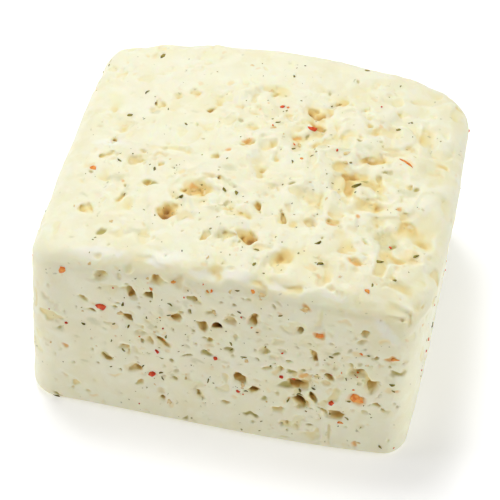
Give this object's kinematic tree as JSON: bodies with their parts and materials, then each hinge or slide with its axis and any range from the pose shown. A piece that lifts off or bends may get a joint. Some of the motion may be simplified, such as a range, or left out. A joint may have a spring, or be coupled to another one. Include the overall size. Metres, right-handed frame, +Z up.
{
  "type": "herbed bryndza cheese block",
  "caption": "Block of fresh white curd cheese with herbs and dried pepper: crowned top, rounded edges, sloping front, and openings between the curds.",
  "frame": {"origin": "middle of the flat base that the block rests on", "axes": "+X to the right along the front face, +Y from the front face to the back, +Z up"},
  "size_m": [0.104, 0.0938, 0.0555],
  "materials": {
    "cheese": "soft, slightly moist fresh cheese",
    "herb": "dried green herb, matte",
    "red_pepper": "dried red pepper skin, softly shiny",
    "orange_pepper": "soaked orange pepper bits, softly shiny"
  },
  "bodies": {
    "root": {"cheese": "cheese"}
  },
  "joints": []
}
